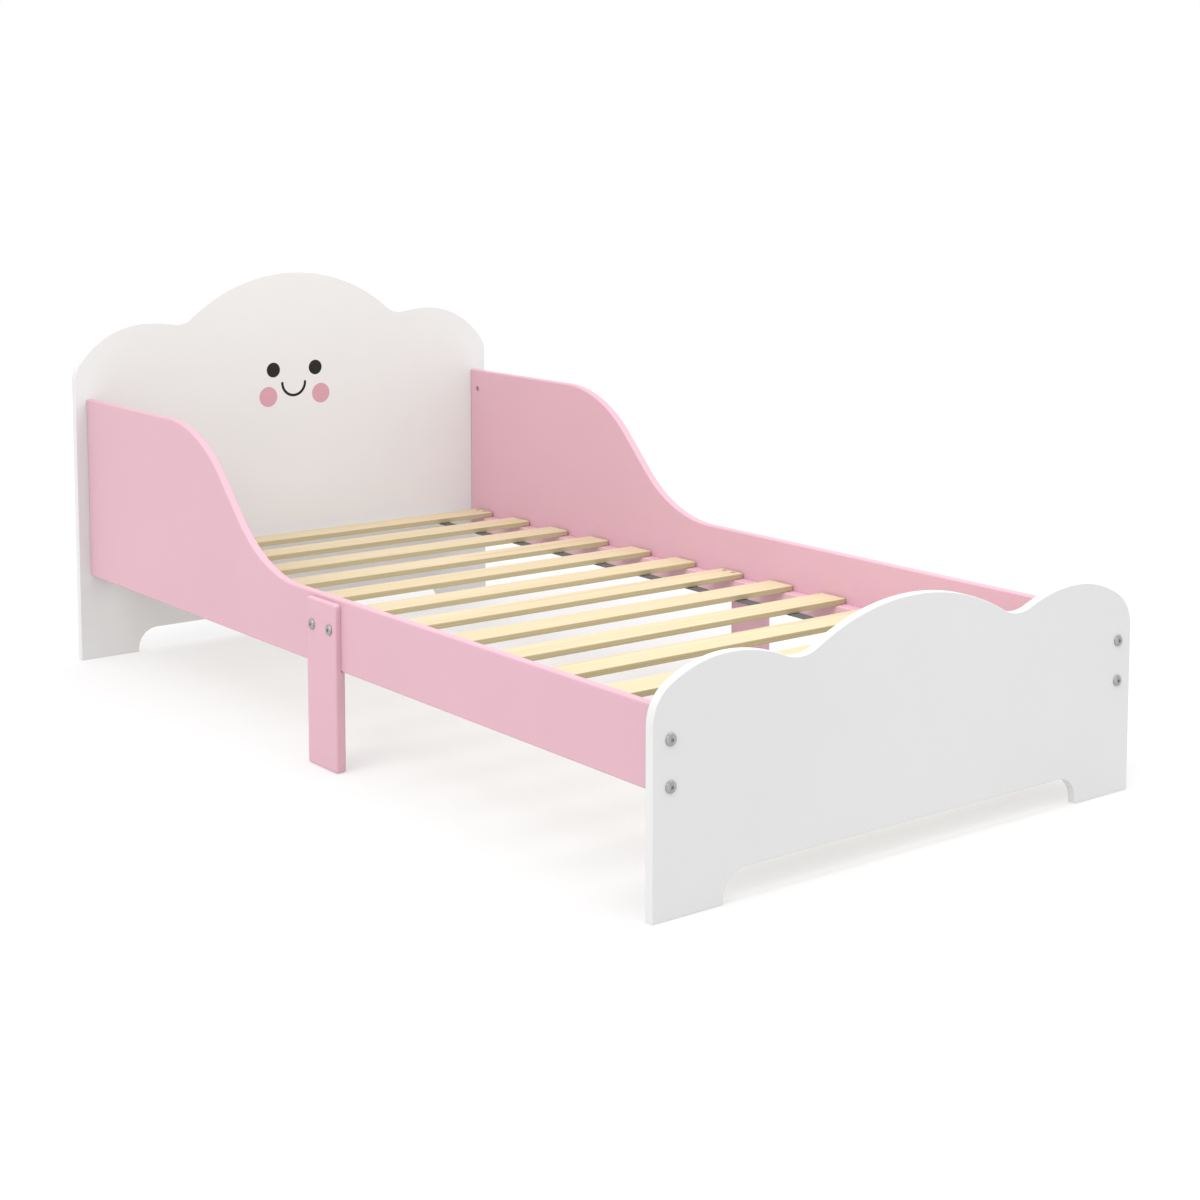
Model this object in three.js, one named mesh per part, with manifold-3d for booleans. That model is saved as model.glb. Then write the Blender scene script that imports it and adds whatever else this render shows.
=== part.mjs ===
// Toddler bed: white head and foot boards, pink side rails with middle legs, and a pine slat base.
// Millimetres. +Z is up, +Y points to the headboard, +X is the right side seen from the foot.
// The origin is on the floor under the middle of the bed.
import * as THREE from 'three';
import { mergeVertices } from 'three/addons/utils/BufferGeometryUtils.js';
import Module from 'manifold-3d';

const wasm = await Module();
wasm.setup();

const GAP = 0.3; // clearance between pieces that touch
const ROUND_SIDES = 16; // sides of a bolt, a nut or a bore
const SCREW_SIDES = 10;

// End boards
const LENGTH = 1430; // outer face of the footboard to outer face of the headboard
const BOARD_WIDTH = 764;
const BOARD_THICKNESS = 12;
const FOOT_WIDTH = 97; // each of the two feet a board stands on
const ARCH_HEIGHT = 36; // cut-out between the feet
const ARCH_RADIUS = 32;
const BOARD_EDGE = 1.5; // rounding of the board edges

// Crest of a board: a round hump in the middle, a hollow on each side of it, then an ear
const HEAD_CREST = {
  top: 593, humpRadius: 284, hollowRadius: 34,
  earX: 260, earTop: 522.5, earInnerRadius: 278, earOuterRadius: 140, cornerRadius: 40,
};
const FOOT_CREST = {
  top: 299.5, humpRadius: 306, hollowRadius: 56,
  earX: 277, earTop: 274.5, earInnerRadius: 205, earOuterRadius: 157, cornerRadius: 50,
};

// Side rails
const RAIL_OUTER_X = 364;
const RAIL_THICKNESS = 12;
const RAIL_BOTTOM = 132.8;
const RAIL_LOW_TOP = 226.5; // along the foot half, where the child climbs in
const RAIL_HIGH_TOP = 409.5; // guard beside the pillow
const SWEEP_Y = 240; // middle of the sweep between the two heights
const SWEEP_RUN = 366; // length of the sweep along the bed
const SWEEP_ANGLE = Math.PI / 4; // steepest slope of the sweep
const RAIL_EDGE = 1.8;

// Middle legs, lapped over the outside of the rails
const LEG_Y = -23;
const LEG_WIDTH = 73;
const LEG_TOP = 221;
const LEG_LAP = 8.4; // part of the leg that stands proud of the rail
const LEG_TUCK = 6.4; // part that goes under the rail
const LEG_CORNER = 3;
const LEG_EDGE = 2.4;

// Slat base
const SLAT_COUNT = 13;
const SLAT_PITCH = 109.5;
const SLAT_WIDTH = 48;
const SLAT_THICKNESS = 8.5;
const SLAT_LENGTH = 698;
const SLAT_TOP = 166;
const SLAT_EDGE = 1.6;
const SCREWED_SLATS = [1, 7, 13];
const LEDGER_THICKNESS = 19.7;
const LEDGER_HEIGHT = 24;
const LEDGER_SETBACK = 28; // the ledgers stop short of the end boards, clear of the barrel nuts
const STRAP_X = 251;
const STRAP_WIDTH = 22;
const STRAP_THICKNESS = 1.2;
const STRAP_SETBACK = 4; // from the outer edge of the last slat to the end of the strap

// Fasteners
const HEAD_RADIUS = 7;
const HEAD_THICKNESS = 2.4;
const HEAD_SLOPE = 1.8; // how far the top of the head is smaller than its rim
const SHANK_RADIUS = 2.7;
const SOCKET_RADIUS = 2.4; // across the corners of the hexagon, halved
const SOCKET_DEPTH = 1.6;
const END_BOLT_LENGTH = 42;
const LEG_BOLT_LENGTH = 17.5;
const LEG_BOLT_SPACING = 43.6;
const LEG_BOLT_Z = 186.3;
const BOLT_LOW_Z = 143;
const BOLT_BELOW_TOP = 33; // upper end bolts, below the top of the rail
const NUT_RADIUS = 4.2;
const NUT_LENGTH = 9; // lies in the middle of the rail's thickness
const NUT_SETBACK = 21.5; // from the board face to the middle of the barrel nut
const SCREW_HEAD_RADIUS = 3.6;
const SCREW_SHANK_RADIUS = 1.6;
const SCREW_LENGTH = 25;
const SCREW_TIP = 3; // pointed end of the screw
const SCREW_SINK = 0.4; // depth of the screw head under the top of the slat
const SCREW_RIM = 0.3; // straight edge of the screw head
const SCREW_SPACING = 19.7;

// Derived positions
const HALF_LENGTH = LENGTH / 2;
const INNER_Y = HALF_LENGTH - BOARD_THICKNESS;
const RAIL_INNER_X = RAIL_OUTER_X - RAIL_THICKNESS;
const RAIL_MIDDLE_X = RAIL_OUTER_X - RAIL_THICKNESS / 2;
const LEDGER_X = RAIL_INNER_X - GAP - LEDGER_THICKNESS / 2;
const SLAT_BOTTOM = SLAT_TOP - SLAT_THICKNESS;
const LEG_OUTER_X = RAIL_OUTER_X + GAP + LEG_LAP;
const SIDES = [{ name: 'left', sign: -1 }, { name: 'right', sign: 1 }];
const ENDS = [
  { name: 'foot', sign: -1, upperZ: RAIL_LOW_TOP - BOLT_BELOW_TOP },
  { name: 'head', sign: 1, upperZ: RAIL_HIGH_TOP - BOLT_BELOW_TOP },
];

// Materials
const paintedWhite = () => new THREE.MeshStandardMaterial({ color: 0xf0efed, roughness: 0.5, metalness: 0 });
const paintedPink = () => new THREE.MeshStandardMaterial({ color: 0xe9bdc9, roughness: 0.5, metalness: 0 });
const barePine = () => new THREE.MeshStandardMaterial({ color: 0xefdcae, roughness: 0.7, metalness: 0 });
const webbing = () => new THREE.MeshStandardMaterial({ color: 0x4b4b4b, roughness: 0.95, metalness: 0 });
const zincSteel = () => new THREE.MeshStandardMaterial({ color: 0xa9abad, roughness: 0.35, metalness: 0.9 });

const bed = new THREE.Group();
bed.name = 'toddler_bed';

function addPiece(name, geometry, material) {
  const mesh = new THREE.Mesh(geometry, material);
  mesh.name = name;
  bed.add(mesh);
}

// Points on a circular arc from one angle to another, close enough to keep the chord error small.
function arc(x, y, radius, from, to, chordError = 0.2) {
  const step = 2 * Math.acos(1 - chordError / radius);
  const count = Math.max(2, Math.ceil(Math.abs(to - from) / step));
  const points = [];
  for (let i = 0; i <= count; i += 1) {
    const angle = from + (to - from) * i / count;
    points.push(new THREE.Vector2(x + radius * Math.cos(angle), y + radius * Math.sin(angle)));
  }
  return points;
}

const directionAngle = (from, to) => Math.atan2(to.y - from.y, to.x - from.x);

// Centre of the circle of radius r that touches circles a and b from above.
function bridgingCentre(a, radiusA, b, radiusB, r) {
  const along = b.clone().sub(a);
  const distance = along.length();
  along.normalize();
  const across = new THREE.Vector2(-along.y, along.x);
  const u = ((radiusA + r) ** 2 - (radiusB + r) ** 2 + distance ** 2) / (2 * distance);
  const v = Math.sqrt((radiusA + r) ** 2 - u ** 2);
  return a.clone().addScaledVector(along, u).addScaledVector(across, v);
}

// Crest outline from the right edge of the board to the left edge.
function crestOutline(crest) {
  const hump = new THREE.Vector2(0, crest.top - crest.humpRadius);
  const innerEar = new THREE.Vector2(crest.earX, crest.earTop - crest.earInnerRadius);
  const outerEar = new THREE.Vector2(crest.earX, crest.earTop - crest.earOuterRadius);
  const hollow = bridgingCentre(
    hump, crest.humpRadius, innerEar, crest.earInnerRadius, crest.hollowRadius,
  );
  const cornerX = BOARD_WIDTH / 2 - crest.cornerRadius;
  const reach = crest.earOuterRadius - crest.cornerRadius;
  const cornerZ = outerEar.y + Math.sqrt(reach ** 2 - (cornerX - crest.earX) ** 2);
  const corner = new THREE.Vector2(cornerX, cornerZ);
  const up = Math.PI / 2;
  const cornerEnd = directionAngle(outerEar, corner);
  const half = [
    ...arc(corner.x, corner.y, crest.cornerRadius, 0, cornerEnd),
    ...arc(outerEar.x, outerEar.y, crest.earOuterRadius, cornerEnd, up).slice(1),
    ...arc(innerEar.x, innerEar.y, crest.earInnerRadius, up, directionAngle(innerEar, hollow)).slice(1),
    ...arc(
      hollow.x, hollow.y, crest.hollowRadius,
      directionAngle(hollow, innerEar), directionAngle(hollow, hump),
    ).slice(1),
    ...arc(hump.x, hump.y, crest.humpRadius, directionAngle(hump, hollow), up).slice(1),
  ];
  const mirrored = half.slice(0, -1).reverse().map((p) => new THREE.Vector2(-p.x, p.y));
  return [...half, ...mirrored];
}

// Whole outline of an end board: two feet with a low arch between them, and the crest on top.
function boardOutline(crest) {
  const edge = BOARD_WIDTH / 2;
  const footEnd = edge - FOOT_WIDTH;
  const cornerX = footEnd - ARCH_RADIUS;
  const cornerZ = ARCH_HEIGHT - ARCH_RADIUS;
  return [
    new THREE.Vector2(-edge, 0),
    new THREE.Vector2(-footEnd, 0),
    ...arc(-cornerX, cornerZ, ARCH_RADIUS, Math.PI, Math.PI / 2),
    ...arc(cornerX, cornerZ, ARCH_RADIUS, Math.PI / 2, 0),
    new THREE.Vector2(footEnd, 0),
    new THREE.Vector2(edge, 0),
    ...crestOutline(crest),
  ];
}

// Outline of a rail seen from the side: low part, sweep made of two arcs and a slope, high part.
function railOutline() {
  const end = INNER_Y - GAP;
  const rise = RAIL_HIGH_TOP - RAIL_LOW_TOP;
  const cos = Math.cos(SWEEP_ANGLE);
  const sin = Math.sin(SWEEP_ANGLE);
  const radius = (SWEEP_RUN * sin - rise * cos) / (2 * (1 - cos));
  const half = SWEEP_RUN / 2;
  const up = Math.PI / 2;
  return [
    new THREE.Vector2(-end, RAIL_BOTTOM),
    new THREE.Vector2(end, RAIL_BOTTOM),
    new THREE.Vector2(end, RAIL_HIGH_TOP),
    ...arc(SWEEP_Y + half, RAIL_HIGH_TOP - radius, radius, up, up + SWEEP_ANGLE),
    ...arc(SWEEP_Y - half, RAIL_LOW_TOP + radius, radius, SWEEP_ANGLE - up, -up),
    new THREE.Vector2(-end, RAIL_LOW_TOP),
  ];
}

// Rectangle with rounded corners, centred on (0, height / 2 + bottom).
function roundedRectangle(width, bottom, height, radius) {
  const x = width / 2 - radius;
  const low = bottom + radius;
  const high = bottom + height - radius;
  const quarter = Math.PI / 2;
  return [
    ...arc(-x, low, radius, 2 * quarter, 3 * quarter),
    ...arc(x, low, radius, -quarter, 0),
    ...arc(x, high, radius, 0, quarter),
    ...arc(-x, high, radius, quarter, 2 * quarter),
  ];
}

// Extrudes an outline into a board whose front and back edges are rounded.
function extrudeBoard(outline, thickness, edge) {
  return new THREE.ExtrudeGeometry(new THREE.Shape(outline), {
    depth: thickness - 2 * edge,
    bevelEnabled: edge > 0,
    bevelThickness: edge,
    bevelSize: edge,
    bevelOffset: -edge,
    bevelSegments: 2,
  }).translate(0, 0, edge);
}

// Turns an extrusion so that its outline stands in the XZ plane and its depth runs along +Y.
function alongY(geometry, y) {
  return geometry.rotateX(Math.PI / 2).translate(0, y, 0);
}

// Turns an extrusion so that its outline lies in the YZ plane and its depth runs along +X.
function alongX(geometry, x) {
  const turn = new THREE.Matrix4().set(0, 0, 1, 0, 1, 0, 0, 0, 0, 1, 0, 0, 0, 0, 0, 1);
  return geometry.applyMatrix4(turn).translate(x, 0, 0);
}

function toManifold(geometry) {
  const bare = geometry.clone();
  bare.deleteAttribute('normal');
  bare.deleteAttribute('uv');
  const welded = mergeVertices(bare, 1e-4);
  return new wasm.Manifold(new wasm.Mesh({
    numProp: 3,
    vertProperties: new Float32Array(welded.attributes.position.array),
    triVerts: new Uint32Array(welded.index.array),
  }));
}

function fromManifold(solid) {
  const mesh = solid.getMesh();
  const geometry = new THREE.BufferGeometry();
  geometry.setAttribute('position', new THREE.BufferAttribute(mesh.vertProperties, 3));
  geometry.setIndex(new THREE.BufferAttribute(mesh.triVerts, 1));
  geometry.computeVertexNormals();
  return geometry;
}

// Cuts every tool out of a body.
function carve(body, tools) {
  let solid = toManifold(body);
  for (const tool of tools) {
    solid = solid.subtract(toManifold(tool));
  }
  return fromManifold(solid);
}

const boreAlongY = (radius, length, x, y, z) =>
  new THREE.CylinderGeometry(radius, radius, length, ROUND_SIDES).translate(x, y, z);

const boreAlongX = (radius, length, x, y, z) =>
  new THREE.CylinderGeometry(radius, radius, length, ROUND_SIDES).rotateZ(Math.PI / 2).translate(x, y, z);

// The two heights at which a board is bolted to each rail end.
const endBoltHeights = (end) => [BOLT_LOW_Z, end.upperZ];

function makeEndBoard(end, crest) {
  const middleY = end.sign * (HALF_LENGTH - BOARD_THICKNESS / 2);
  const board = alongY(
    extrudeBoard(boardOutline(crest), BOARD_THICKNESS, BOARD_EDGE), middleY + BOARD_THICKNESS / 2,
  );
  const bores = [];
  for (const side of SIDES) {
    for (const z of endBoltHeights(end)) {
      const x = side.sign * RAIL_MIDDLE_X;
      bores.push(boreAlongY(SHANK_RADIUS + GAP, 2 * BOARD_THICKNESS, x, middleY, z));
    }
  }
  addPiece(`${end.name}board`, carve(board, bores), paintedWhite());
}

// A rail has a bore in each end for the bolts and blind holes in its inner face for the barrel nuts.
function makeRail(side) {
  const startX = side.sign * RAIL_MIDDLE_X - RAIL_THICKNESS / 2;
  const rail = alongX(extrudeBoard(railOutline(), RAIL_THICKNESS, RAIL_EDGE), startX);
  const bores = [];
  for (const end of ENDS) {
    for (const z of endBoltHeights(end)) {
      const depth = END_BOLT_LENGTH - BOARD_THICKNESS + 2;
      const boreY = end.sign * (INNER_Y - depth / 2);
      const x = side.sign * RAIL_MIDDLE_X;
      bores.push(boreAlongY(SHANK_RADIUS + GAP, depth, x, boreY, z));
      const nutY = end.sign * (INNER_Y - NUT_SETBACK);
      const nutDeep = RAIL_MIDDLE_X + NUT_LENGTH / 2 + GAP;
      const nutOpen = RAIL_INNER_X - 1;
      const nutX = side.sign * (nutDeep + nutOpen) / 2;
      bores.push(boreAlongX(NUT_RADIUS + GAP, nutDeep - nutOpen, nutX, nutY, z));
    }
  }
  for (const offset of [-1, 1]) {
    const depth = LEG_BOLT_LENGTH - LEG_LAP + 1;
    const y = LEG_Y + offset * LEG_BOLT_SPACING / 2;
    const x = side.sign * (RAIL_OUTER_X + 1 - depth / 2);
    bores.push(boreAlongX(SHANK_RADIUS + GAP, depth, x, y, LEG_BOLT_Z));
  }
  addPiece(`${side.name}_side_rail`, carve(rail, bores), paintedPink());
}

// A middle leg: rounded board with a step on its inner face that the rail sits in.
function makeLeg(side) {
  const thickness = LEG_LAP + LEG_TUCK;
  const leg = alongX(
    extrudeBoard(roundedRectangle(LEG_WIDTH, 0, LEG_TOP, LEG_CORNER), thickness, LEG_EDGE), 0,
  );
  const stepBottom = RAIL_BOTTOM - GAP;
  const stepHeight = LEG_TOP - stepBottom + 1;
  const step = new THREE.BoxGeometry(LEG_TUCK + 1, LEG_WIDTH + 2, stepHeight)
    .translate((LEG_TUCK - 1) / 2, 0, stepBottom + stepHeight / 2);
  const bores = [-1, 1].map((offset) => boreAlongX(
    SHANK_RADIUS + GAP, 3 * thickness, 0, offset * LEG_BOLT_SPACING / 2, LEG_BOLT_Z,
  ));
  const body = carve(leg, [step, ...bores]);
  body.translate(LEG_OUTER_X - thickness, 0, 0);
  if (side.sign < 0) {
    body.rotateZ(Math.PI);
  }
  addPiece(`${side.name}_middle_leg`, body.translate(0, LEG_Y, 0), paintedPink());
}

const slatY = (number) => (SLAT_COUNT + 1 - 2 * number) / 2 * SLAT_PITCH;

// Where the slat screws stand, for the slats that are screwed to the ledgers.
function screwPlaces(number, side) {
  return [-1, 1].map((offset) => ({
    x: side.sign * LEDGER_X,
    y: slatY(number) + offset * SCREW_SPACING / 2,
  }));
}

// Half profile of a countersunk screw, from its tip on the axis to its head on the axis.
function screwProfile(grow) {
  const head = SCREW_HEAD_RADIUS + grow;
  const shank = SCREW_SHANK_RADIUS + grow;
  const neck = -(SCREW_HEAD_RADIUS - SCREW_SHANK_RADIUS);
  return [
    new THREE.Vector2(0, -SCREW_LENGTH - grow),
    new THREE.Vector2(shank, -SCREW_LENGTH + SCREW_TIP - grow),
    new THREE.Vector2(shank, neck),
    new THREE.Vector2(head, grow > 0 ? 0 : -SCREW_RIM),
    new THREE.Vector2(head, grow > 0 ? 1 : 0),
    new THREE.Vector2(0, grow > 0 ? 1 : 0),
  ];
}

const screwBody = (grow, x, y) =>
  new THREE.LatheGeometry(screwProfile(grow), SCREW_SIDES)
    .rotateX(Math.PI / 2).translate(x, y, SLAT_TOP - SCREW_SINK);

function makeLedger(side) {
  const length = 2 * (INNER_Y - LEDGER_SETBACK);
  const ledger = new THREE.BoxGeometry(LEDGER_THICKNESS, length, LEDGER_HEIGHT)
    .translate(side.sign * LEDGER_X, 0, SLAT_BOTTOM - GAP - LEDGER_HEIGHT / 2);
  const bores = SCREWED_SLATS.flatMap((number) => screwPlaces(number, side))
    .map((place) => screwBody(GAP, place.x, place.y));
  addPiece(`${side.name}_slat_ledger`, carve(ledger, bores), paintedPink());
}

function makeSlat(number) {
  const outline = roundedRectangle(SLAT_WIDTH, SLAT_BOTTOM, SLAT_THICKNESS, SLAT_EDGE);
  const slat = alongX(extrudeBoard(outline, SLAT_LENGTH, 0), -SLAT_LENGTH / 2)
    .translate(0, slatY(number), 0);
  const places = SCREWED_SLATS.includes(number)
    ? SIDES.flatMap((side) => screwPlaces(number, side)) : [];
  const body = carve(slat, places.map((place) => screwBody(GAP, place.x, place.y)));
  addPiece(`slat_${String(number).padStart(2, '0')}`, body, barePine());
}

function makeSlatScrews() {
  for (const number of SCREWED_SLATS) {
    for (const side of SIDES) {
      screwPlaces(number, side).forEach((place, i) => {
        const name = `slat_${String(number).padStart(2, '0')}_screw_${side.name}_${i + 1}`;
        addPiece(name, screwBody(0, place.x, place.y), zincSteel());
      });
    }
  }
}

// One strap of webbing per side holds the slats at their spacing from underneath.
function makeStrap(side) {
  const length = (SLAT_COUNT - 1) * SLAT_PITCH + SLAT_WIDTH - 2 * STRAP_SETBACK;
  const strap = new THREE.BoxGeometry(STRAP_WIDTH, length, STRAP_THICKNESS)
    .translate(side.sign * STRAP_X, 0, SLAT_BOTTOM - GAP - STRAP_THICKNESS / 2);
  addPiece(`${side.name}_slat_strap`, strap, webbing());
}

// A furniture bolt with a flat round head and a hexagon socket. Its head seats at y = 0, shank to -y.
function boltBody(length) {
  const seat = GAP;
  const top = seat + HEAD_THICKNESS;
  const profile = [
    new THREE.Vector2(0, -length),
    new THREE.Vector2(SHANK_RADIUS, -length),
    new THREE.Vector2(SHANK_RADIUS, seat),
    new THREE.Vector2(HEAD_RADIUS, seat),
    new THREE.Vector2(HEAD_RADIUS, seat + HEAD_THICKNESS / 2),
    new THREE.Vector2(HEAD_RADIUS - HEAD_SLOPE, top),
    new THREE.Vector2(0, top),
  ];
  const socket = new THREE.CylinderGeometry(SOCKET_RADIUS, SOCKET_RADIUS, 2 * SOCKET_DEPTH, 6)
    .translate(0, top, 0);
  return carve(new THREE.LatheGeometry(profile, ROUND_SIDES), [socket]);
}

// A barrel nut lies across the rail and is threaded for the end bolt.
function barrelNut() {
  const thread = boreAlongY(SHANK_RADIUS + GAP, 4 * NUT_RADIUS, 0, 0, 0);
  return carve(boreAlongX(NUT_RADIUS, NUT_LENGTH, 0, 0, 0), [thread]);
}

function makeEndFasteners(end, side) {
  endBoltHeights(end).forEach((z, i) => {
    const place = `${end.name}_${side.name}_${i === 0 ? 'lower' : 'upper'}`;
    const bolt = boltBody(END_BOLT_LENGTH);
    if (end.sign < 0) {
      bolt.rotateX(Math.PI);
    }
    bolt.translate(side.sign * RAIL_MIDDLE_X, end.sign * HALF_LENGTH, z);
    addPiece(`bolt_${place}`, bolt, zincSteel());
    const nut = barrelNut().translate(
      side.sign * RAIL_MIDDLE_X, end.sign * (INNER_Y - NUT_SETBACK), z,
    );
    addPiece(`barrel_nut_${place}`, nut, zincSteel());
  });
}

function makeLegBolts(side) {
  [-1, 1].forEach((offset, i) => {
    const bolt = boltBody(LEG_BOLT_LENGTH).rotateZ(-side.sign * Math.PI / 2);
    const y = LEG_Y + offset * LEG_BOLT_SPACING / 2;
    bolt.translate(side.sign * LEG_OUTER_X, y, LEG_BOLT_Z);
    addPiece(`bolt_leg_${side.name}_${i + 1}`, bolt, zincSteel());
  });
}

makeEndBoard(ENDS[0], FOOT_CREST);
makeEndBoard(ENDS[1], HEAD_CREST);
for (const side of SIDES) {
  makeRail(side);
  makeLedger(side);
  makeLeg(side);
  makeStrap(side);
  makeLegBolts(side);
  for (const end of ENDS) {
    makeEndFasteners(end, side);
  }
}
for (let number = 1; number <= SLAT_COUNT; number += 1) {
  makeSlat(number);
}
makeSlatScrews();

export default bed;
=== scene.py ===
# Looks of a toddler bed: white painted head and foot boards, pink painted rails and middle legs,
# pine slats on webbing straps, and zinc-plated bolts. Metres, +Z up, +Y towards the headboard.
import math

import bmesh
import bpy
from mathutils import Matrix, Vector


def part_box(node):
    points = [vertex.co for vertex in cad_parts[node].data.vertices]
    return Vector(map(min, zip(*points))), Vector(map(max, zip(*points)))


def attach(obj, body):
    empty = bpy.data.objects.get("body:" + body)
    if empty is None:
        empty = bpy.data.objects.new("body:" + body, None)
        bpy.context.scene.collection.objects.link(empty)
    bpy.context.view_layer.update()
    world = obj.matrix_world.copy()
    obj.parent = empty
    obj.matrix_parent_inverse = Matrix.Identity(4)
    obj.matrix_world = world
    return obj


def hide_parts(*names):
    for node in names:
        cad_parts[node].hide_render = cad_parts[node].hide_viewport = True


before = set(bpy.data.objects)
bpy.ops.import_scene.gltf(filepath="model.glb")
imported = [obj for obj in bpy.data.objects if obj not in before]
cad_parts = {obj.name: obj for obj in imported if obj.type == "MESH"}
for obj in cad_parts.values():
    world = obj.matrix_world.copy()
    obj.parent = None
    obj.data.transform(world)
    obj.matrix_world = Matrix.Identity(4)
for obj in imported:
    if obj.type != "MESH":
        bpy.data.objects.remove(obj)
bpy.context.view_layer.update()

MM = 0.001
BODY = "root"
SIDES = (("left", -1), ("right", 1))
ENDS = (("foot", -1), ("head", 1))
LEVELS = ("lower", "upper")
QUARTER = math.pi / 2
GAP = 0.3 * MM  # clearance between pieces that touch, as in the CAD model

# Edge rounding, in more steps than the CAD model's
BOARD_EDGE = 1.0 * MM
RAIL_EDGE = 2.8 * MM
LEG_EDGE = 3.0 * MM
SLAT_EDGE = 1.3 * MM
LEDGER_EDGE = 1.5 * MM
LEG_CORNER = 4 * MM
SHARP_ANGLE = math.radians(35)  # edges sharper than this stay crisp

# Board outlines: a round hump, a hollow on each side of it, then an ear with a rounded outer corner.
# The crests are in millimetres.
FOOT_WIDTH = 97 * MM
ARCH_HEIGHT = 36 * MM
ARCH_RADIUS = 32 * MM
HEAD_CREST = {
    "top": 593, "hump": 284, "hollow": 34, "ear_x": 260, "ear_top": 522.5,
    "ear_inner": 278, "ear_outer": 140, "corner": 40,
}
FOOT_CREST = {
    "top": 299.5, "hump": 306, "hollow": 56, "ear_x": 277, "ear_top": 274.5,
    "ear_inner": 205, "ear_outer": 157, "corner": 50,
}

# Rail outline
RAIL_LOW_TOP = 226.5 * MM
SWEEP_Y = 240 * MM
SWEEP_RUN = 366 * MM
SWEEP_ANGLE = math.pi / 4

# Slat base
SLAT_COUNT = 13
STRAP_SAG = 0.45 * MM  # how far the webbing hangs below the slats between two of them
STRAP_STEPS = 200
STAPLE_WIDTH = 9 * MM
STAPLE_WIRE = 0.9 * MM
STAPLE_HEIGHT = 0.5 * MM
STAPLE_OFFSET = 9 * MM  # from the middle of the slat

# Fasteners
BOLT_HEAD_RADIUS = 7 * MM
BOLT_HEAD_HEIGHT = 2.7 * MM  # with the gap under it
BOLT_SHANK_RADIUS = 2.7 * MM
BOLT_BORE_RADIUS = BOLT_SHANK_RADIUS + GAP
SOCKET_RADIUS = 2.4 * MM
SOCKET_DEPTH = 1.3 * MM
SLOT_WIDTH = 1.2 * MM  # screwdriver slot in the end of a barrel nut
SCREW_HEAD_RADIUS = 3.6 * MM
SCREW_SHANK_RADIUS = 1.6 * MM
SCREW_LENGTH = 25 * MM
CROSS_LENGTH = 3.6 * MM  # cross recess in a screw head
CROSS_WIDTH = 0.8 * MM

# Printed face on the headboard, measured from the middle of the board and the floor
FACE_X = 2.2 * MM
EYE_SPREAD = 39.2 * MM
EYE_Z = 433.5 * MM
EYE_RADIUS = 12.2 * MM
CHEEK_SPREAD = 49.2 * MM
CHEEK_Z = 389.8 * MM
CHEEK_RADIUS = 16.5 * MM
SMILE_X = 0.5 * MM
SMILE_Z = 410.8 * MM
SMILE_RADIUS = 21.2 * MM
SMILE_STROKE = 4.4 * MM
PRINT_THICKNESS = 0.12 * MM

FLOOR_RADIUS = 30
FLOOR_DROP = 0.5 * MM  # keeps the floor just under the feet


# ---------------------------------------------------------------- materials

def new_material(name, colour, roughness, metallic=0.0):
    """A Principled material with its plain values set; returns it, its node tree and the shader."""
    material = bpy.data.materials.new(name)
    material.use_nodes = True
    tree = material.node_tree
    shader = tree.nodes["Principled BSDF"]
    shader.inputs["Base Color"].default_value = (*colour, 1)
    shader.inputs["Roughness"].default_value = roughness
    shader.inputs["Metallic"].default_value = metallic
    return material, tree, shader


def add_node(tree, kind, links=(), **values):
    """Adds a node, sets the named inputs and properties, and links (input, socket) pairs."""
    node = tree.nodes.new(kind)
    for key, value in values.items():
        if key in node.inputs:
            node.inputs[key].default_value = value
        else:
            setattr(node, key, value)
    for name, socket in links:
        tree.links.new(socket, node.inputs[name])
    return node


def object_coordinates(tree):
    return add_node(tree, "ShaderNodeTexCoord").outputs["Object"]


def noise(tree, vector, scale, detail=3.0):
    """The 0 to 1 value of a noise texture."""
    node = add_node(
        tree, "ShaderNodeTexNoise", links=[("Vector", vector)], Scale=scale, Detail=detail,
    )
    return node.outputs["Fac"]


def colour_ramp(tree, factor, stops):
    """A colour ramp with the given (position, colour) stops."""
    node = add_node(tree, "ShaderNodeValToRGB", links=[("Fac", factor)])
    ramp = node.color_ramp
    while len(ramp.elements) < len(stops):
        ramp.elements.new(0.5)
    for element, (position, colour) in zip(ramp.elements, stops):
        element.position = position
        element.color = (*colour, 1)
    return node.outputs["Color"]


def scaled(tree, factor, low, high):
    """Maps a 0 to 1 value to the range low to high."""
    node = add_node(tree, "ShaderNodeMapRange", links=[("Value", factor)])
    node.inputs["To Min"].default_value = low
    node.inputs["To Max"].default_value = high
    return node.outputs["Result"]


def multiplied(tree, first, second):
    """The product of two colours."""
    node = add_node(tree, "ShaderNodeVectorMath", links=[(0, first), (1, second)], operation="MULTIPLY")
    return node.outputs["Vector"]


def add_bump(tree, shader, height, strength, distance):
    """Feeds a height into the shader's normal."""
    bump = add_node(
        tree, "ShaderNodeBump", links=[("Height", height)], Strength=strength, Distance=distance,
    )
    tree.links.new(bump.outputs["Normal"], shader.inputs["Normal"])


def paint_material(name, colour, shade):
    """Satin paint on board: faint roller texture, slow tone changes and slightly uneven sheen."""
    material, tree, shader = new_material(name, colour, 0.5)
    place = object_coordinates(tree)
    cloudy = noise(tree, place, 5, detail=2)
    darker = tuple(c * shade for c in colour)
    tone = colour_ramp(tree, cloudy, [(0.35, darker), (0.65, colour)])
    tree.links.new(tone, shader.inputs["Base Color"])
    roller = noise(tree, place, 900, detail=2)
    tree.links.new(scaled(tree, noise(tree, place, 60), 0.44, 0.56), shader.inputs["Roughness"])
    add_bump(tree, shader, roller, 0.12, 0.0004)
    shader.inputs["Specular IOR Level"].default_value = 0.35
    return material


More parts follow.
